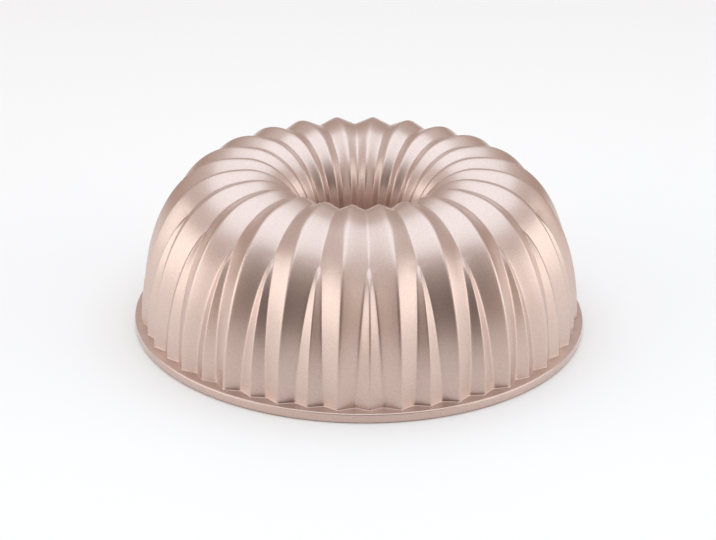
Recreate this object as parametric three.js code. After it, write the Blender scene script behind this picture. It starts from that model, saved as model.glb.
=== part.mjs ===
import * as THREE from 'three';

// Fluted tube pan, standing on its rim with the mouth of the tube upwards, z = 0 on the rim's flat face.
// One aluminium casting carries two sprayed coats: a metallic lacquer outside and a non-stick lining inside.

// Driving dimensions of the outside, in millimetres
const RIM_DIAMETER = 254;
const RIM_THICKNESS = 5.4;
const RIM_LAND = 3.5;
const RIM_TOP_EDGE = 0.6;
const RIM_FOOT_EDGE = 1.2;
const PAN_HEIGHT = 93.4;
const WALL_POWER = 0.87;
const CROWN_OUTER_RADIUS = 66.6;
const CROWN_INNER_RADIUS = 64.5;
const THROAT_REACH = 36.2;
const THROAT_RISE = 45.7;
const THROAT_END_ANGLE = 14.6;
const TUBE_TIP_HEIGHT = 8;

// Flutes: each depth is a share of the radius that the flute has there
const FLUTE_COUNT = 24;
const RIM_DEPTH_SHARE = 0.057;
const CROWN_DEPTH_SHARE = 0.047;
const CREST_WIDTH = 1.5;

// Branch ridges: one grows out of each valley, part way down the wall
const BRANCH_TOP_ANGLE = 54;
const BRANCH_GROWTH_POWER = 0.6;
const BRANCH_WIDTH_SHARE = 0.525;

// Layers, each measured square to the wall
const COAT_THICKNESS = 0.3;
const CAST_THICKNESS = 3.2;
const LAYER_GAP = 0.02;

// Angles at which rings of points are set, in degrees on each quarter ellipse
const OUTSIDE_WALL_ANGLES = [10, 20, 30, 39, 47, BRANCH_TOP_ANGLE, 64, 78, 90];
const OUTSIDE_THROAT_ANGLES = [90, 71, 52, 34, THROAT_END_ANGLE];
const INSIDE_WALL_ANGLES = [15, 30, 43, BRANCH_TOP_ANGLE, 73, 90];
const INSIDE_THROAT_ANGLES = [90, 64, 38, THROAT_END_ANGLE];

// Dimensions that follow from the ones above
const RIM_RADIUS = RIM_DIAMETER / 2;
const BASE_RADIUS = RIM_RADIUS - RIM_LAND;
const WALL_REACH = BASE_RADIUS - CROWN_OUTER_RADIUS;
const WALL_RISE = PAN_HEIGHT - RIM_THICKNESS;
const THROAT_CENTRE_HEIGHT = PAN_HEIGHT - THROAT_RISE;
const HALF_PITCH = Math.PI / FLUTE_COUNT;

// Depth of each surface below the finished outside
const CAST_OUTSIDE = COAT_THICKNESS + LAYER_GAP;
const CAST_INSIDE = CAST_OUTSIDE + CAST_THICKNESS;
const LINING_BACK = CAST_INSIDE + LAYER_GAP;
const LINING_FACE = LINING_BACK + COAT_THICKNESS;

// Two edges whose angles, in radians, differ by less than this count as the same
const SAME_ANGLE = 1e-9;

const radians = THREE.MathUtils.degToRad;

// A station is a place on the crest line: its point, its outward direction and the flute's shape there.
// branch runs from 0 where a branch ridge starts to 1 at the rim. The ridge widens and its crest climbs
// all the way down, so that its crest reaches the main crest line at the rim.
function station(radius, height, outR, outZ, depthShare, branch) {
  const length = Math.hypot(outR, outZ);
  const growth = branch ** BRANCH_GROWTH_POWER;
  return {
    radius,
    height,
    outR: outR / length,
    outZ: outZ / length,
    depth: depthShare * radius,
    branchWidth: BRANCH_WIDTH_SHARE * growth,
    branchDrop: 1 - growth,
  };
}

// Upright stretch of the wall beside the rim
function rimStation(height) {
  return station(BASE_RADIUS, height, 1, 0, RIM_DEPTH_SHARE, 1);
}

// Outer wall: a quarter ellipse from the rim's top, at 0 degrees, to the crown, at 90. A power below 1
// flattens it towards the crown.
function wallStation(degrees) {
  const angle = radians(degrees);
  const radius = CROWN_OUTER_RADIUS + WALL_REACH * Math.cos(angle) ** WALL_POWER;
  const height = RIM_THICKNESS + WALL_RISE * Math.sin(angle);
  const depthShare = THREE.MathUtils.lerp(RIM_DEPTH_SHARE, CROWN_DEPTH_SHARE, degrees / 90);
  const branch = Math.max(0, 1 - degrees / BRANCH_TOP_ANGLE);
  const outR = WALL_RISE * Math.cos(angle);
  const outZ = WALL_REACH * WALL_POWER * Math.cos(angle) ** (WALL_POWER - 1) * Math.sin(angle);
  return station(radius, height, outR, outZ, depthShare, branch);
}

// Throat: a quarter ellipse from the crown, at 90 degrees, down into the tube
function throatStation(degrees) {
  const angle = radians(degrees);
  const radius = CROWN_INNER_RADIUS - THROAT_REACH * Math.cos(angle);
  const height = THROAT_CENTRE_HEIGHT + THROAT_RISE * Math.sin(angle);
  const outR = -THROAT_RISE * Math.cos(angle);
  const outZ = THROAT_REACH * Math.sin(angle);
  return station(radius, height, outR, outZ, CROWN_DEPTH_SHARE, 0);
}

// Tip of the tube: the throat's last slope carried straight on, with a level end
function tipStation() {
  const end = throatStation(THROAT_END_ANGLE);
  const slope = end.outZ / -end.outR;
  const radius = end.radius - slope * (end.height - TUBE_TIP_HEIGHT);
  return station(radius, TUBE_TIP_HEIGHT, -1, 0, CROWN_DEPTH_SHARE, 0);
}

// Points of one flute, as [turn from its crest in half pitches, depth below the crest line]
function fluteSection(place, crestPoints) {
  const crestTurn = CREST_WIDTH / 2 / (HALF_PITCH * place.radius);
  const crest = crestPoints === 2 ? [[-crestTurn, 0], [crestTurn, 0]] : [[0, 0]];
  if (place.branchWidth === 0) return [...crest, [1, place.depth]];
  const valley = place.depth * (1 - place.branchWidth);
  return [
    ...crest,
    [1 - place.branchWidth, valley],
    [1, place.depth * place.branchDrop],
    [1 + place.branchWidth, valley],
  ];
}

// One closed ring of points round the axis, a given distance below the finished outside
function flutedRing(place, below, crestPoints) {
  const ring = [];
  for (let flute = 0; flute < FLUTE_COUNT; flute += 1) {
    for (const [turn, depth] of fluteSection(place, crestPoints)) {
      ring.push({
        angle: (2 * flute + 1 + turn) * HALF_PITCH,
        radius: place.radius - place.outR * (depth + below),
        height: place.height - place.outZ * (depth + below),
      });
    }
  }
  return ring;
}

// One plain circle of points, at the same angles as the flutes' feet
function plainRing(radius, height) {
  return flutedRing(rimStation(height), 0, 1).map((point) => ({ ...point, radius }));
}

// Rim seen in section, from its foot up and in to the flutes' feet
function rimRings(below) {
  const radius = RIM_RADIUS - below;
  const top = RIM_THICKNESS - below;
  return [
    plainRing(radius, RIM_FOOT_EDGE),
    plainRing(radius, top - RIM_TOP_EDGE),
    plainRing(radius - RIM_TOP_EDGE, top),
    flutedRing(rimStation(top), below, 1),
  ];
}

// Outside of the pan, from the rim's foot over the crown to the tip of the tube
function outsideRings(below) {
  const wall = OUTSIDE_WALL_ANGLES.map((degrees) => {
    return flutedRing(wallStation(degrees), below, degrees < BRANCH_TOP_ANGLE ? 1 : 2);
  });
  const throat = OUTSIDE_THROAT_ANGLES.map((degrees) => flutedRing(throatStation(degrees), below, 2));
  return [...rimRings(below), ...wall, ...throat, flutedRing(tipStation(), below, 2)];
}

// Baking side of the pan, from the rim's face over the crown to the tip of the tube
function insideRings(below) {
  const rim = [rimStation(0), rimStation(RIM_THICKNESS)];
  const wall = INSIDE_WALL_ANGLES.map(wallStation);
  const throat = INSIDE_THROAT_ANGLES.map(throatStation);
  return [...rim, ...wall, ...throat, tipStation()].map((place) => flutedRing(place, below, 1));
}

// Triangles between two neighbouring rings, stepping on each time along whichever ring gives the shorter edge.
// Where both are the same, each half of a flute is cut as the mirror image of the other half.
function joinRings(first, second) {
  const angleAt = (ring, step) => ring[step % ring.length].angle + (step >= ring.length ? 2 * Math.PI : 0);
  const triangles = [];
  let i = 0;
  let j = 0;
  while (i < first.length || j < second.length) {
    const here = first[i % first.length];
    const there = second[j % second.length];
    const firstReach = Math.abs(angleAt(first, i + 1) - angleAt(second, j));
    const secondReach = Math.abs(angleAt(second, j + 1) - angleAt(first, i));
    const middle = (angleAt(first, i) + angleAt(first, i + 1)) / 2;
    const margin = Math.sin(FLUTE_COUNT * middle) < 0 ? SAME_ANGLE : -SAME_ANGLE;
    const stepFirst = j >= second.length || (i < first.length && firstReach <= secondReach + margin);
    if (stepFirst) i += 1;
    else j += 1;
    const next = stepFirst ? first[i % first.length] : second[j % second.length];
    triangles.push([here, next, there]);
  }
  return triangles;
}

// One sheet through a row of rings, facing outwards
function sheet(rings) {
  return rings.slice(1).flatMap((ring, index) => joinRings(rings[index], ring));
}

// Closed skin between an outward face and the face behind it, with a band round the rim and one round the tip
function skinGeometry(face, back) {
  const triangles = [
    ...sheet(face),
    ...sheet(back).map((corners) => corners.reverse()),
    ...joinRings(back.at(0), face.at(0)),
    ...joinRings(face.at(-1), back.at(-1)),
  ];
  const positions = triangles.flat().flatMap(({ angle, radius, height }) => {
    return [radius * Math.cos(angle), radius * Math.sin(angle), height];
  });
  const geometry = new THREE.BufferGeometry();
  geometry.setAttribute('position', new THREE.Float32BufferAttribute(positions, 3));
  geometry.computeVertexNormals();
  return geometry;
}

function piece(name, geometry, color, roughness, metalness) {
  const mesh = new THREE.Mesh(geometry, new THREE.MeshStandardMaterial({ color, roughness, metalness }));
  mesh.name = name;
  return mesh;
}

// The casting ends in the rim's flat face, which the pan stands on
function castBody() {
  const foot = plainRing(RIM_RADIUS - CAST_OUTSIDE - RIM_FOOT_EDGE, 0);
  const geometry = skinGeometry([foot, ...outsideRings(CAST_OUTSIDE)], insideRings(CAST_INSIDE));
  return piece('cast_body', geometry, '#b9bbbd', 0.45, 1);
}

function outerCoat() {
  const geometry = skinGeometry(outsideRings(0), outsideRings(COAT_THICKNESS));
  return piece('outer_coat', geometry, '#cdb0a4', 0.4, 0.85);
}

function nonstickLining() {
  const geometry = skinGeometry(insideRings(LINING_BACK), insideRings(LINING_FACE));
  return piece('nonstick_lining', geometry, '#b9988c', 0.5, 0.5);
}

const pan = new THREE.Group();
pan.name = 'fluted_tube_pan';
pan.add(castBody(), outerCoat(), nonstickLining());

export default pan;
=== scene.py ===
import math

import bpy
import numpy as np
from mathutils import Matrix, Vector


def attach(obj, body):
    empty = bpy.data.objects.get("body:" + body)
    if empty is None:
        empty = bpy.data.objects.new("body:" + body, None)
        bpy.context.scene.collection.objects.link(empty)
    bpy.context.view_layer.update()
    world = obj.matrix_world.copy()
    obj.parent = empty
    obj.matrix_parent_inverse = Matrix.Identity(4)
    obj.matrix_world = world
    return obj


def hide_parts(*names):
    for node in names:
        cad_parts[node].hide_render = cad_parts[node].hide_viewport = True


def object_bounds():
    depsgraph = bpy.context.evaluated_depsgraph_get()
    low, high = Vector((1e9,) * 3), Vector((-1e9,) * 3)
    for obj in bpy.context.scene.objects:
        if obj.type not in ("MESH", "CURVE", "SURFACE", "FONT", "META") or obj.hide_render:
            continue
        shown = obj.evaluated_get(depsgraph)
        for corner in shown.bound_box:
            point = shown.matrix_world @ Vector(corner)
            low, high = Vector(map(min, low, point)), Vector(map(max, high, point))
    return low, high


# Fluted tube pan, standing on its rim with the mouth of the tube upwards.
# The pan's three layers are each one closed surface grid: lacquer outside, casting between, lining inside.

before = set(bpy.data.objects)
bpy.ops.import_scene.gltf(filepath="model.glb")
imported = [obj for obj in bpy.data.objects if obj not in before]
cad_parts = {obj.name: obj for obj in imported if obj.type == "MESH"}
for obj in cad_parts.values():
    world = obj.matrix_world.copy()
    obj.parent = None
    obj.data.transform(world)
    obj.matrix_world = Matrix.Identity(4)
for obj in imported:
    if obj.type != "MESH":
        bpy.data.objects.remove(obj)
cad_low, cad_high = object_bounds()

MM = 0.001
QUARTER_TURN = math.pi / 2

# The pan's outside, in metres: the overall sizes come from the frame
RIM_RADIUS = (cad_high.x - cad_low.x) / 2
PAN_HEIGHT = cad_high.z
RIM_THICKNESS = 5.4 * MM
RIM_LAND = 3.5 * MM
RIM_TOP_ROUND = 0.8 * MM
RIM_FOOT_ROUND = 1.2 * MM
RIM_INNER_BEVEL = 0.5 * MM
FOOT_FILLET = 0.4 * MM
WALL_POWER = 0.87
CROWN_OUTER_RADIUS = 66.6 * MM
CROWN_INNER_RADIUS = 64.5 * MM
THROAT_REACH = 36.2 * MM
THROAT_RISE = 45.7 * MM
THROAT_END_ANGLE = math.radians(14.6)
TUBE_TIP_HEIGHT = 8.0 * MM

BASE_RADIUS = RIM_RADIUS - RIM_LAND
WALL_REACH = BASE_RADIUS - CROWN_OUTER_RADIUS
WALL_RISE = PAN_HEIGHT - RIM_THICKNESS
THROAT_CENTRE_HEIGHT = PAN_HEIGHT - THROAT_RISE

# Flutes: each depth is a share of the radius that the flute has there
FLUTE_COUNT = 24
HALF_PITCH = math.pi / FLUTE_COUNT
RIM_DEPTH_SHARE = 0.06
CROWN_DEPTH_SHARE = 0.047
TUBE_DEPTH_SHARE = 0.065

# Branch ridges: one grows out of each valley, part way down the wall. Their sides' slopes are given as
# shares of the slope of the flanks beside them, at the tip and at the rim.
BRANCH_TOP_ANGLE = math.radians(55)
BRANCH_GROWTH_POWER = 0.55
BRANCH_WIDTH_SHARE = 0.49
BRANCH_SLOPES = (1.7, 0.82)

# How far crests and valleys are softened to either side, on the crown and on the wall. They change over
# between two ends, counted in branch lengths: 0 is a branch's tip, and what lies above it is below 0.
CREST_SOFTNESS = (1.0 * MM, 0.55 * MM)
VALLEY_SOFTNESS = (0.8 * MM, 0.6 * MM)
CROWN_TO_WALL = (-0.6, 0)

# How far a branch's crest is softened at its tip and further down. It changes over between two ends,
# counted as shares of the branch's growth. Its feet are softened from the first value at the tip to the
# second at the rim.
BRANCH_CREST_SOFTNESS = (0.9 * MM, 0.3 * MM)
TIP_TO_RIDGE = (0.2, 0.42)
BRANCH_FOOT_SOFTNESS = (0.25 * MM, 0.75 * MM)

# Layers, each measured square to the wall from the finished outside
COAT_THICKNESS = 0.3 * MM
CAST_THICKNESS = 3.2 * MM
LAYER_GAP = 0.02 * MM
CAST_OUTSIDE = COAT_THICKNESS + LAYER_GAP
CAST_INSIDE = CAST_OUTSIDE + CAST_THICKNESS
LINING_BACK = CAST_INSIDE + LAYER_GAP
LINING_FACE = LINING_BACK + COAT_THICKNESS

# Columns on one side of an edge, as multiples of its softness, and the most that one multiple may take
# as a share of a branch's side
EDGE_STEPS = np.array([0, 0.5, 1.2, 2.6])
EDGE_SHARE = 0.14

# Rows of each surface: on the wall below and above the branches' tips, in the throat and along the tube
SHOWN_ROWS = (24, 16, 22, 6)
HIDDEN_ROWS = (15, 10, 14, 4)
BAKING_ROWS = (17, 12, 16, 5)
ROUNDED_EDGE_ROWS = 5

# Power by which the wall's rows crowd towards the tips of the branches
ROW_CROWDING = 1.5

# Edges that turn by more than this are shaded sharp
SHARP_ANGLE = math.radians(50)

# Grain of the finishes, and the clear gloss over the lacquer
GRAIN_DETAIL = 2.0
GRAIN_ROUGHNESS = 0.6
GRAIN_BUMP_STRENGTH = 0.5
GLOSS_ROUGHNESS = 0.26
GLOSS_IOR = 1.6

# Floor
FLOOR_RADIUS = 6.0
FLOOR_SIDES = 64
FLOOR_COLOUR = "#f9f4f0"
FLOOR_ROUGHNESS = 0.45

# Camera: its focal length is in pixels of a picture of the photograph's width
CAMERA_TARGET = Vector((-0.89, 0, 29.1)) * MM
CAMERA_DISTANCE = 1131 * MM
CAMERA_ELEVATION = math.radians(24.42)
CAMERA_AZIMUTH = math.radians(-2.81)
CAMERA_ROLL = math.radians(0.8)
PHOTO_WIDTH = 716
FOCAL_PIXELS = 2000
SENSOR_WIDTH = 36.0

# Lamps, in metres: a cool one for a roof and a wall of light to each side
LAMPS = {
    "overhead_box": {
        "place": (0.08, 0.05, 1.2),
        "aim": (0.08, 0.05, 0),
        "width": 1.7,
        "length": 1.7,
        "radiance": 0.93,
        "colour": "#c9e9ff",
    },
    "left_box": {
        "place": (-1.9, -0.65, 0.57),
        "aim": (0, -0.65, 0.57),
        "width": 2.56,
        "length": 1.04,
        "radiance": 1.66,
        "colour": "#eefbff",
    },
    "right_box": {
        "place": (1.9, -0.62, 0.59),
        "aim": (0, -0.62, 0.59),
        "width": 2.14,
        "length": 1.07,
        "radiance": 1.6,
        "colour": "#eefbff",
    },
}

# Room: its walls change over to its ceiling between two heights, given as sines of the elevation, and an
# oval in front is dark. A direction's distance from the oval's heart is its length once it is stretched
# and shifted, and the dark comes in between the oval's edge and its heart.
ROOM_STRENGTH = 1.15
ROOM_WALL_COLOUR = "#aa9589"
ROOM_CEILING_COLOUR = "#eeeff1"
WALL_TO_CEILING = (0.17, 0.95)
ROOM_FRONT_COLOUR = "#241a17"
FRONT_STRETCH = (1.6, 1, 1)
FRONT_SHIFT = (-0.04, 0.97, -0.17)
FRONT_EDGE_TO_HEART = (0.88, 0.22)


def eased(value, ends, results):
    """One result carried over to another between two ends, along a cubic that is level at both."""
    share = np.clip((value - ends[0]) / (ends[1] - ends[0]), 0, 1)
    return results[0] + (results[1] - results[0]) * share**2 * (3 - 2 * share)


def rows(radius, height, layer_out, flute_out, depth_share, branch):
    """Rows of the surface: a line for each, with all that a flute's section needs there.

    layer_out is the direction that layers are stacked in and flute_out the one that flutes are cut in.
    branch runs from 0 where a branch ridge starts to 1 at the rim, and is below 0 above its start.
    """
    columns = (radius, height, *layer_out, *flute_out, depth_share, branch)
    return np.stack(np.broadcast_arrays(*columns), axis=1)


def rim_rows():
    """The rim in section: a rounded foot, an upright edge and a rounded top, with no flutes."""
    turn = np.linspace(0, QUARTER_TURN, ROUNDED_EDGE_ROWS)
    foot_radius = RIM_RADIUS - RIM_FOOT_ROUND * (1 - np.sin(turn))
    foot_height = RIM_FOOT_ROUND * (1 - np.cos(turn))
    top_radius = RIM_RADIUS - RIM_TOP_ROUND * (1 - np.cos(turn))
    top_height = RIM_THICKNESS - RIM_TOP_ROUND * (1 - np.sin(turn))
    foot = rows(foot_radius, foot_height, (1, 0), (0, 0), RIM_DEPTH_SHARE, 1)
    top = rows(top_radius, top_height, (np.cos(turn), np.sin(turn)), (0, 0), RIM_DEPTH_SHARE, 1)
    return np.concatenate([foot, top])


def foot_rows():
    """The small hollow fillet, a quarter circle, between the rim's top and the feet of the flutes."""
    turn = np.linspace(0, QUARTER_TURN, ROUNDED_EDGE_ROWS)
    radius = BASE_RADIUS + FOOT_FILLET * (1 - np.sin(turn))
    height = RIM_THICKNESS + FOOT_FILLET * (1 - np.cos(turn))
    return rows(radius, height, (np.sin(turn), np.cos(turn)), (1, 0), RIM_DEPTH_SHARE, 1)


def upright_rows():
    """The baking side of the wall behind the rim, straight up from a bevelled edge at the rim's face."""
    height = np.array([0, RIM_INNER_BEVEL, RIM_THICKNESS / 2])
    radius = BASE_RADIUS + np.maximum(RIM_INNER_BEVEL - height, 0)
    return rows(radius, height, (1, 0), (1, 0), RIM_DEPTH_SHARE, 1)


def wall_rows(start, lower_count, upper_count):
    """The outer wall: a quarter ellipse whose angle runs from start near the rim to 90 degrees at the crown.

    A power below 1 flattens the ellipse towards the crown.
    The rows crowd towards the branches' tips from below, and spread out again above them.
    """
    first = (1 - start / BRANCH_TOP_ANGLE) ** (1 / ROW_CROWDING)
    below_tip = np.linspace(first, 0, lower_count) ** ROW_CROWDING
    above_tip = np.linspace(0, 1, upper_count)[1:] ** ROW_CROWDING
    lower = BRANCH_TOP_ANGLE * (1 - below_tip)
    upper = BRANCH_TOP_ANGLE + (QUARTER_TURN - BRANCH_TOP_ANGLE) * above_tip
    angle = np.concatenate([lower, upper])
    radius = CROWN_OUTER_RADIUS + WALL_REACH * np.cos(angle) ** WALL_POWER
    height = RIM_THICKNESS + WALL_RISE * np.sin(angle)
    upward = WALL_REACH * WALL_POWER * np.cos(angle) ** (WALL_POWER - 1) * np.sin(angle)
    out = np.array([WALL_RISE * np.cos(angle), upward])
    out = out / np.hypot(*out)
    share = RIM_DEPTH_SHARE + (CROWN_DEPTH_SHARE - RIM_DEPTH_SHARE) * angle / QUARTER_TURN
    return rows(radius, height, out, out, share, 1 - angle / BRANCH_TOP_ANGLE)


def throat_rows(count):
    """The throat: a quarter ellipse whose angle runs from 90 degrees at the crown down into the tube."""
    angle = np.linspace(QUARTER_TURN, THROAT_END_ANGLE, count)
    radius = CROWN_INNER_RADIUS - THROAT_REACH * np.cos(angle)
    height = THROAT_CENTRE_HEIGHT + THROAT_RISE * np.sin(angle)
    out = np.array([-THROAT_RISE * np.cos(angle), THROAT_REACH * np.sin(angle)])
    out = out / np.hypot(*out)
    share = eased(angle, (QUARTER_TURN, THROAT_END_ANGLE), (CROWN_DEPTH_SHARE, TUBE_DEPTH_SHARE))
    return rows(radius, height, out, out, share, -1)


def tube_rows(count):
    """The tube: the throat's last slope carried straight on, with an out direction that turns level."""
    top_radius, top_height, top_out, top_up = throat_rows(2)[-1, :4]
    slope = -top_up / top_out
    share = np.linspace(0, 1, count + 1)[1:]
    height = top_height + (TUBE_TIP_HEIGHT - top_height) * share
    radius = top_radius - slope * (top_height - height)
    lean = math.atan(slope) * (1 - share)
    out = (-np.cos(lean), np.sin(lean))
    return rows(radius, height, out, out, TUBE_DEPTH_SHARE, -1)


def outside_rows(lower_count, upper_count, throat_count, tube_count):
    """The outside, from the rim's foot over the crown to the tip of the tube.

    The wall starts at the angle where it has risen by the fillet's height.
    """
    start = math.asin(FOOT_FILLET / WALL_RISE)
    wall = wall_rows(start, lower_count, upper_count)[1:]
    return np.concatenate([rim_rows(), foot_rows(), wall, throat_rows(throat_count), tube_rows(tube_count)])


def inside_rows(lower_count, upper_count, throat_count, tube_count):
    """The baking side, from the rim's face over the crown to the tip of the tube."""
    wall = wall_rows(0, lower_count, upper_count)
    return np.concatenate([upright_rows(), wall, throat_rows(throat_count), tube_rows(tube_count)])


def soft_crest(across, slope, softness):
    """Depth under a crest: flanks of this slope, softened to a cubic mean at the edge."""
    return slope * (np.cbrt(np.abs(across) ** 3 + softness**3) - softness)


def soft_valley(first, second, softness):
    """The shallower of two depths, softened to a hyperbola where they meet."""
    return (first + second) / 2 - np.hypot((first - second) / 2, softness)


def fluted_grid(row, below):
    """Points of a fluted surface at a given distance below the finished outside, as rows by columns by xyz.

    Along a row, the depth under the crest line grows in proportion to the distance from the nearest crest.
    Each branch ridge is a second crest in the middle of a valley, and the shallower of the two wins.
    turn counts half pitches from a crest: 1 is the middle of the valley, or the branch's crest.
    """
    columns = (column[:, None] for column in row.T)
    radius, height, layer_r, layer_z, flute_r, flute_z, share, branch = columns
    pitch = radius * HALF_PITCH
    depth = share * radius
    growth = np.sign(branch) * np.abs(branch) ** BRANCH_GROWTH_POWER

    def grown(tip_and_rim):
        return np.interp(growth, [0, 1], tip_and_rim)

    # The flanks' slope leaves the valley at its depth once the crest and the valley are both softened.
    # Inside the crown, the softness shrinks with the radius.
    shrink = np.minimum(1, radius / CROWN_INNER_RADIUS)
    crest_soft = eased(branch, CROWN_TO_WALL, CREST_SOFTNESS) * shrink
    valley_soft = eased(branch, CROWN_TO_WALL, VALLEY_SOFTNESS) * shrink
    slope = depth / (soft_crest(pitch, 1, crest_soft) - valley_soft)

    # The branch's crest lies where its sides, at their own slope, meet the flanks at the branch's width
    branch_soft = eased(growth, TIP_TO_RIDGE, BRANCH_CREST_SOFTNESS)
    foot_soft = grown(BRANCH_FOOT_SOFTNESS)
    branch_slope = slope * grown(BRANCH_SLOPES)
    foot = pitch * (1 - BRANCH_WIDTH_SHARE * growth)
    branch_rise = soft_crest(np.maximum(pitch - foot, 0), branch_slope, branch_soft)
    drop = slope * (foot - crest_soft) - branch_rise

    # Columns crowd over each edge: the crest, the foot of the branch and the branch's own crest
    foot = np.minimum(foot, pitch - valley_soft)
    side = EDGE_SHARE * (pitch - foot)
    crest_edge = crest_soft * EDGE_STEPS
    foot_edge = np.minimum(foot_soft, side) * EDGE_STEPS
    branch_edge = np.minimum(branch_soft, side) * EDGE_STEPS
    flank = (crest_edge[:, -1:] + foot - foot_edge[:, -1:]) / 2
    half = [crest_edge, flank, foot - foot_edge[:, :0:-1], foot + foot_edge, pitch - branch_edge[:, ::-1]]
    half = np.concatenate(half, axis=1) / pitch
    turn = np.concatenate([half, 2 - half[:, -2:0:-1]], axis=1)

    near_crest = soft_crest(turn * pitch, slope, crest_soft)
    far_crest = soft_crest((2 - turn) * pitch, slope, crest_soft)
    flanks = soft_valley(near_crest, far_crest, slope * valley_soft)
    ridge = drop + soft_crest((1 - turn) * pitch, branch_slope, branch_soft)
    cut = soft_valley(flanks, ridge, (slope + branch_slope) / 2 * foot_soft)
    cut = np.tile(np.maximum(cut, 0), FLUTE_COUNT)

    flute = np.repeat(np.arange(FLUTE_COUNT), turn.shape[1])
    angle = (2 * flute + 1 + np.tile(turn, FLUTE_COUNT)) * HALF_PITCH
    out = radius - layer_r * below - flute_r * cut
    up = height - layer_z * below - flute_z * cut
    return np.stack([out * np.cos(angle), out * np.sin(angle), up], axis=2)


def closed_skin(name, face, back, materials):
    """A closed ring-shaped mesh: the face's rows, then the back's in reverse, joined end to end.

    The last of the materials goes on the two bands that join them, at the rim and at the tip of the tube.
    """
    grid = np.concatenate([face, back[::-1]])
    row_count, column_count = grid.shape[:2]
    here = np.arange(row_count * column_count).reshape(row_count, column_count)
    right = np.roll(here, -1, axis=1)
    above = np.roll(here, -1, axis=0)
    corner = np.roll(above, -1, axis=1)
    quads = np.stack([here, right, corner, above], axis=2).reshape(-1, 4)
    material_index = np.zeros((row_count, column_count), np.int32)
    material_index[[len(face) - 1, -1]] = len(materials) - 1

    mesh = bpy.data.meshes.new(name)
    mesh.vertices.add(row_count * column_count)
    mesh.vertices.foreach_set("co", grid.astype(np.float32).ravel())
    mesh.loops.add(quads.size)
    mesh.loops.foreach_set("vertex_index", quads.astype(np.int32).ravel())
    mesh.polygons.add(len(quads))
    mesh.polygons.foreach_set("loop_start", np.arange(0, quads.size, 4, dtype=np.int32))
    for material in materials:
        mesh.materials.append(material)
    mesh.polygons.foreach_set("material_index", material_index.ravel())
    mesh.update(calc_edges=True)
    mesh.shade_smooth()
    mesh.set_sharp_from_angle(angle=SHARP_ANGLE)
    piece = bpy.data.objects.new(name, mesh)
    bpy.context.scene.collection.objects.link(piece)
    return piece


def linear(hex_colour):
    """An sRGB hex colour as the linear red, green, blue and alpha that shaders take, by the sRGB curve."""
    srgb = np.array([int(hex_colour[i : i + 2], 16) for i in (1, 3, 5)]) / 255
    values = np.where(srgb <= 0.04045, srgb / 12.92, ((srgb + 0.055) / 1.055) ** 2.4)
    return (*values.tolist(), 1.0)


def add_node(tree, kind, settings=None, **inputs):
    """A node of this kind with its settings, and its inputs given as values or as sockets to link from.

    An input goes by its name, or by the letter i and its number where names repeat.
    """
    node = tree.nodes.new(kind)
    for name, value in (settings or {}).items():
        setattr(node, name, value)
    for name, value in inputs.items():
        socket = node.inputs[int(name[1:])] if name[1:].isdigit() else node.inputs[name.replace("_", " ")]
        if isinstance(value, bpy.types.NodeSocket):
            tree.links.new(value, socket)
        else:
            socket.default_value = value
    return node


def new_material(name):
    """A material with an empty node tree, and that tree."""
    material = bpy.data.materials.new(name)
    material.use_nodes = True
    material.node_tree.nodes.clear()
    return material, material.node_tree


def grained_metal(name, dark, light, metallic, roughness, grain, bump, gloss):
    """A metal finish whose tint and height both follow one noise, with grains of a given size in metres.

    Real flakes and blasted pits measure about 0.1 mm: each grain is drawn as coarse as it needs to show.
    """
    material, tree = new_material(name)
    place = add_node(tree, "ShaderNodeTexCoord").outputs["Object"]
    noise = add_node(
        tree,
        "ShaderNodeTexNoise",
        Vector=place,
        Scale=1 / grain,
        Detail=GRAIN_DETAIL,
        Roughness=GRAIN_ROUGHNESS,
    )
    tint = add_node(
        tree,
        "ShaderNodeMix",
        {"data_type": "RGBA"},
        i0=noise.outputs["Fac"],
        i6=linear(dark),
        i7=linear(light),
    )
    relief = add_node(
        tree,
        "ShaderNodeBump",
        Strength=GRAIN_BUMP_STRENGTH,
        Distance=bump,
        Height=noise.outputs["Fac"],
    )
    shader = add_node(
        tree,
        "ShaderNodeBsdfPrincipled",
        Base_Color=tint.outputs[2],
        Metallic=metallic,
        Roughness=roughness,
        Normal=relief.outputs["Normal"],
        Coat_Weight=gloss,
        Coat_Roughness=GLOSS_ROUGHNESS,
        Coat_IOR=GLOSS_IOR,
    )
    add_node(tree, "ShaderNodeOutputMaterial", Surface=shader.outputs["BSDF"])
    return material


def dress(piece, node):
    """Puts a piece in place of its CAD node, on the pan's only body."""
    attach(piece, "root")
    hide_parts(node)


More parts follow.
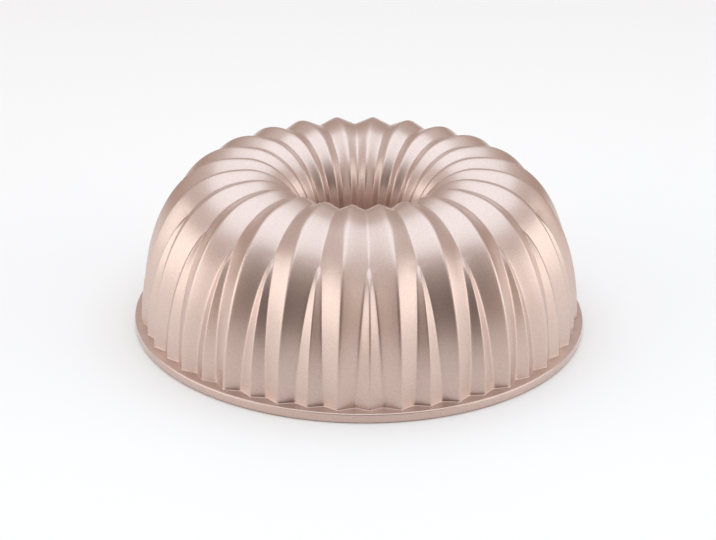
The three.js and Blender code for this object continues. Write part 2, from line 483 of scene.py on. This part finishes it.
def make_pan():
    """The three layers of the pan, each in place of its CAD node."""
    # Sprayed lacquer with metal flake under a clear gloss: a satin rose sheen whose grains catch the light
    lacquer = grained_metal(
        "rose_gold_flake_lacquer",
        dark="#ba9e91",
        light="#dfc5ba",
        metallic=0.9,
        roughness=0.335,
        grain=0.7 * MM,
        bump=0.02 * MM,
        gloss=1.0,
    )
    # Sprayed non-stick coat: duller and darker than the lacquer, with a soft pebbled skin
    nonstick = grained_metal(
        "rose_gold_nonstick",
        dark="#ad9389",
        light="#c4aba1",
        metallic=0.5,
        roughness=0.46,
        grain=0.9 * MM,
        bump=0.04 * MM,
        gloss=0.0,
    )
    # Aluminium as cast and blasted: a dull grey metal with a pitted grain
    aluminium = grained_metal(
        "cast_aluminium",
        dark="#a9abad",
        light="#c3c5c7",
        metallic=1.0,
        roughness=0.5,
        grain=0.8 * MM,
        bump=0.05 * MM,
        gloss=0.0,
    )
    outside = outside_rows(*SHOWN_ROWS)
    hidden = outside_rows(*HIDDEN_ROWS)
    inside = inside_rows(*BAKING_ROWS)

    face = fluted_grid(outside, 0)
    back = fluted_grid(hidden, COAT_THICKNESS)
    dress(closed_skin("lacquer_coat", face, back, [lacquer]), "outer_coat")

    face = fluted_grid(hidden, CAST_OUTSIDE)
    back = fluted_grid(inside, CAST_INSIDE)
    dress(closed_skin("pan_casting", face, back, [aluminium, nonstick]), "cast_body")

    face = fluted_grid(inside, LINING_BACK)
    back = fluted_grid(inside, LINING_FACE)
    dress(closed_skin("baking_lining", face, back, [nonstick]), "nonstick_lining")


def make_camera():
    """A camera at the photograph's viewing angle, turned about the pan's axis and rolled a little."""
    data = bpy.data.cameras.new("camera")
    data.sensor_width = SENSOR_WIDTH
    data.lens = FOCAL_PIXELS / PHOTO_WIDTH * SENSOR_WIDTH
    camera = bpy.data.objects.new("camera", data)
    away = Vector((0, -math.cos(CAMERA_ELEVATION), math.sin(CAMERA_ELEVATION)))
    tilt = Matrix.Rotation(QUARTER_TURN - CAMERA_ELEVATION, 4, "X")
    roll = Matrix.Rotation(CAMERA_ROLL, 4, "Z")
    place = Matrix.Translation(CAMERA_TARGET + CAMERA_DISTANCE * away) @ tilt @ roll
    camera.matrix_world = Matrix.Rotation(CAMERA_AZIMUTH, 4, "Z") @ place
    bpy.context.scene.collection.objects.link(camera)
    bpy.context.scene.camera = camera


def make_floor():
    """A plain white floor disc, satin to the eye, that keeps the pan's shadow."""
    turn = np.linspace(0, 2 * math.pi, FLOOR_SIDES, endpoint=False)
    ring = np.stack([np.cos(turn), np.sin(turn), np.zeros(FLOOR_SIDES)], axis=1) * FLOOR_RADIUS
    mesh = bpy.data.meshes.new("floor")
    mesh.from_pydata(ring.tolist(), [], [list(range(FLOOR_SIDES))])
    floor = bpy.data.objects.new("floor", mesh)
    bpy.context.scene.collection.objects.link(floor)
    material, tree = new_material("white_floor")
    shader = add_node(
        tree,
        "ShaderNodeBsdfPrincipled",
        Base_Color=linear(FLOOR_COLOUR),
        Roughness=FLOOR_ROUGHNESS,
    )
    add_node(tree, "ShaderNodeOutputMaterial", Surface=shader.outputs["BSDF"])
    floor.data.materials.append(material)


def softbox(name, place, aim, width, length, radiance, colour):
    """A soft lamp aimed at a point, out of the camera's sight. Its power is pi times radiance and area."""
    data = bpy.data.lights.new(name, "AREA")
    data.shape = "RECTANGLE"
    data.size = width
    data.size_y = length
    data.color = linear(colour)[:3]
    data.energy = radiance * math.pi * width * length
    lamp = bpy.data.objects.new(name, data)
    lamp.location = place
    lamp.rotation_euler = (Vector(aim) - Vector(place)).to_track_quat("-Z", "Y").to_euler()
    lamp.visible_camera = False
    bpy.context.scene.collection.objects.link(lamp)


def make_light():
    """Soft studio light: the lamps, in a room that brightens to its ceiling and is dark in front."""
    for name, lamp in LAMPS.items():
        softbox(name, **lamp)
    world = bpy.data.worlds.new("studio")
    world.use_nodes = True
    tree = world.node_tree
    direction = add_node(tree, "ShaderNodeTexCoord").outputs["Generated"]
    height = add_node(tree, "ShaderNodeSeparateXYZ", Vector=direction).outputs["Z"]
    upward = add_node(
        tree,
        "ShaderNodeMapRange",
        Value=height,
        From_Min=WALL_TO_CEILING[0],
        From_Max=WALL_TO_CEILING[1],
    )
    front = add_node(
        tree,
        "ShaderNodeVectorMath",
        {"operation": "MULTIPLY_ADD"},
        i0=direction,
        i1=FRONT_STRETCH,
        i2=FRONT_SHIFT,
    )
    distance = add_node(tree, "ShaderNodeVectorMath", {"operation": "LENGTH"}, i0=front.outputs["Vector"])
    forward = add_node(
        tree,
        "ShaderNodeMapRange",
        Value=distance.outputs["Value"],
        From_Min=FRONT_EDGE_TO_HEART[0],
        From_Max=FRONT_EDGE_TO_HEART[1],
    )
    room = add_node(
        tree,
        "ShaderNodeMix",
        {"data_type": "RGBA"},
        i0=upward.outputs["Result"],
        i6=linear(ROOM_WALL_COLOUR),
        i7=linear(ROOM_CEILING_COLOUR),
    )
    room = add_node(
        tree,
        "ShaderNodeMix",
        {"data_type": "RGBA"},
        i0=forward.outputs["Result"],
        i6=room.outputs[2],
        i7=linear(ROOM_FRONT_COLOUR),
    )
    background = tree.nodes["Background"].inputs
    tree.links.new(room.outputs[2], background["Color"])
    background["Strength"].default_value = ROOM_STRENGTH
    bpy.context.scene.world = world


make_pan()
make_camera()
make_floor()
make_light()
bpy.context.scene.view_settings.view_transform = "Standard"
